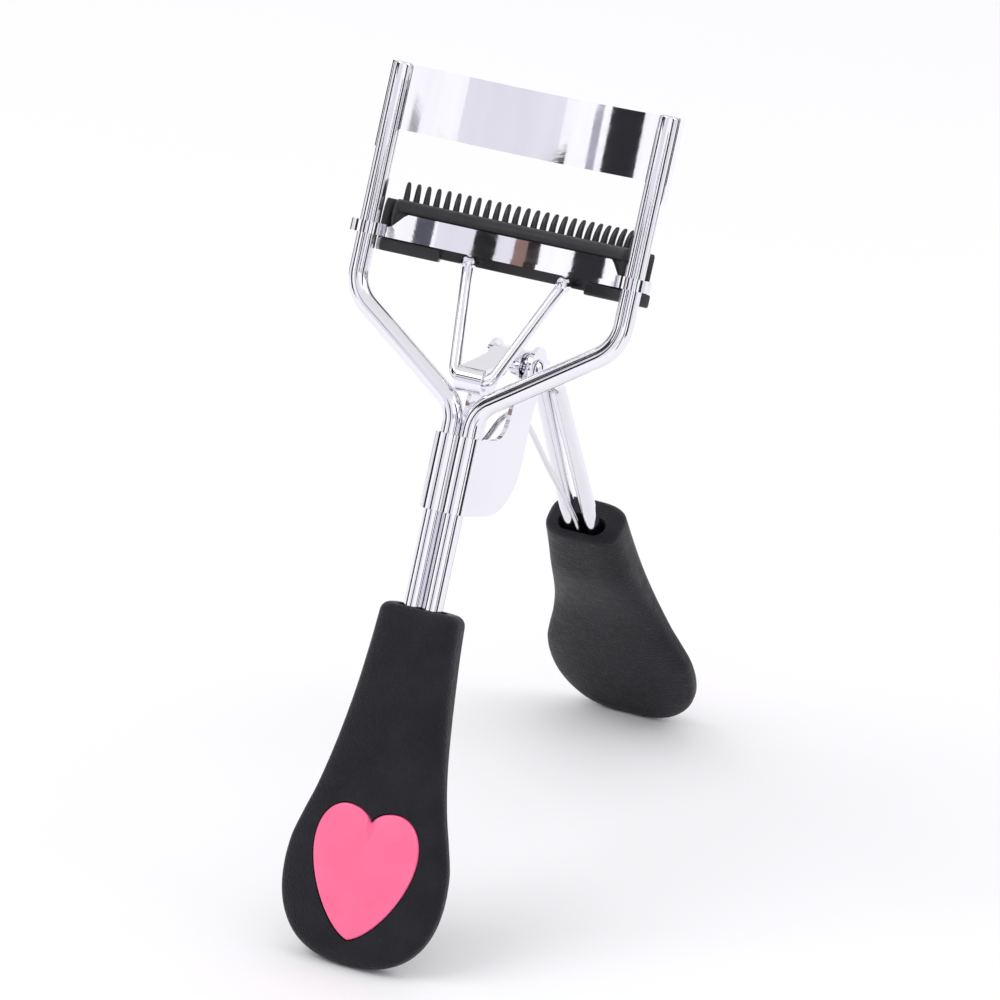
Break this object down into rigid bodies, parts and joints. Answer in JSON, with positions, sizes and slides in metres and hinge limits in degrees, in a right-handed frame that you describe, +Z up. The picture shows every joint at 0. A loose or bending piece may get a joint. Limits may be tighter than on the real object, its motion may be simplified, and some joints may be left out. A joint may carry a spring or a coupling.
{
  "type": "eyelash curler",
  "caption": "Hand-held curler for eyelashes, standing open: curved plate over a padded lash bar that slides on two side rails, worked by a bent link and a sprung lever with padded grips.",
  "frame": {"origin": "centre of the bounding box seen from above, on the plane both grips stand on", "axes": "+Z up, +X along the lash bar to the right side seen from the front grip, +Y from the front grip to the rear grip"},
  "size_m": [0.0378, 0.0892, 0.0984],
  "materials": {
    "chrome": "bright polished plating",
    "spring_wire": "bright drawn wire",
    "grip": "satin black with a fine leather-like grain",
    "pad": "soft black silicone",
    "comb": "smooth black moulding",
    "heart": "soft-gloss pink inlay"
  },
  "bodies": {
    "frame": {"frame_wire_left": "chrome", "frame_wire_right": "chrome", "upper_plate": "chrome", "front_clamp": "chrome", "pivot_pin": "chrome", "pivot_washer_left": "chrome", "pivot_washer_right": "chrome", "front_grip": "grip", "front_heart": "heart", "return_spring": "spring_wire"},
    "bar": {"lash_bar": "chrome", "silicone_pad": "pad", "lash_comb": "comb"},
    "link": {"link_wire": "chrome", "link_collar_left": "chrome", "link_collar_right": "chrome"},
    "lever": {"lever_head": "chrome", "lever_wire_left": "chrome", "lever_wire_right": "chrome", "rear_grip": "grip", "rear_heart": "heart"}
  },
  "joints": [
    {"name": "lever_hinge", "type": "hinge", "parent": "frame", "child": "lever", "pos_m": [0, -0.0077, 0.06383], "axis": [-1, 0, 0], "range_deg": [0, 35.69], "stiffness_Nm_per_rad": 0.15, "springref_deg": -28.65, "deforming": ["return_spring"]},
    {"name": "bar_slide", "type": "slide", "parent": "frame", "child": "bar", "axis": [0, 0.3437, 0.9391], "range_m": [-0.00002, 0.00788]},
    {"name": "link_swing", "type": "hinge", "parent": "bar", "child": "link", "pos_m": [0, -0.00983, 0.07574], "axis": [-1, 0, 0], "range_deg": [-3.4, 0.1]}
  ],
  "couplings": [
    {"joint": "bar_slide", "follows": "lever_hinge", "m_per_rad": 0.012602},
    {"joint": "link_swing", "follows": "lever_hinge", "ratio": -0.093628}
  ]
}
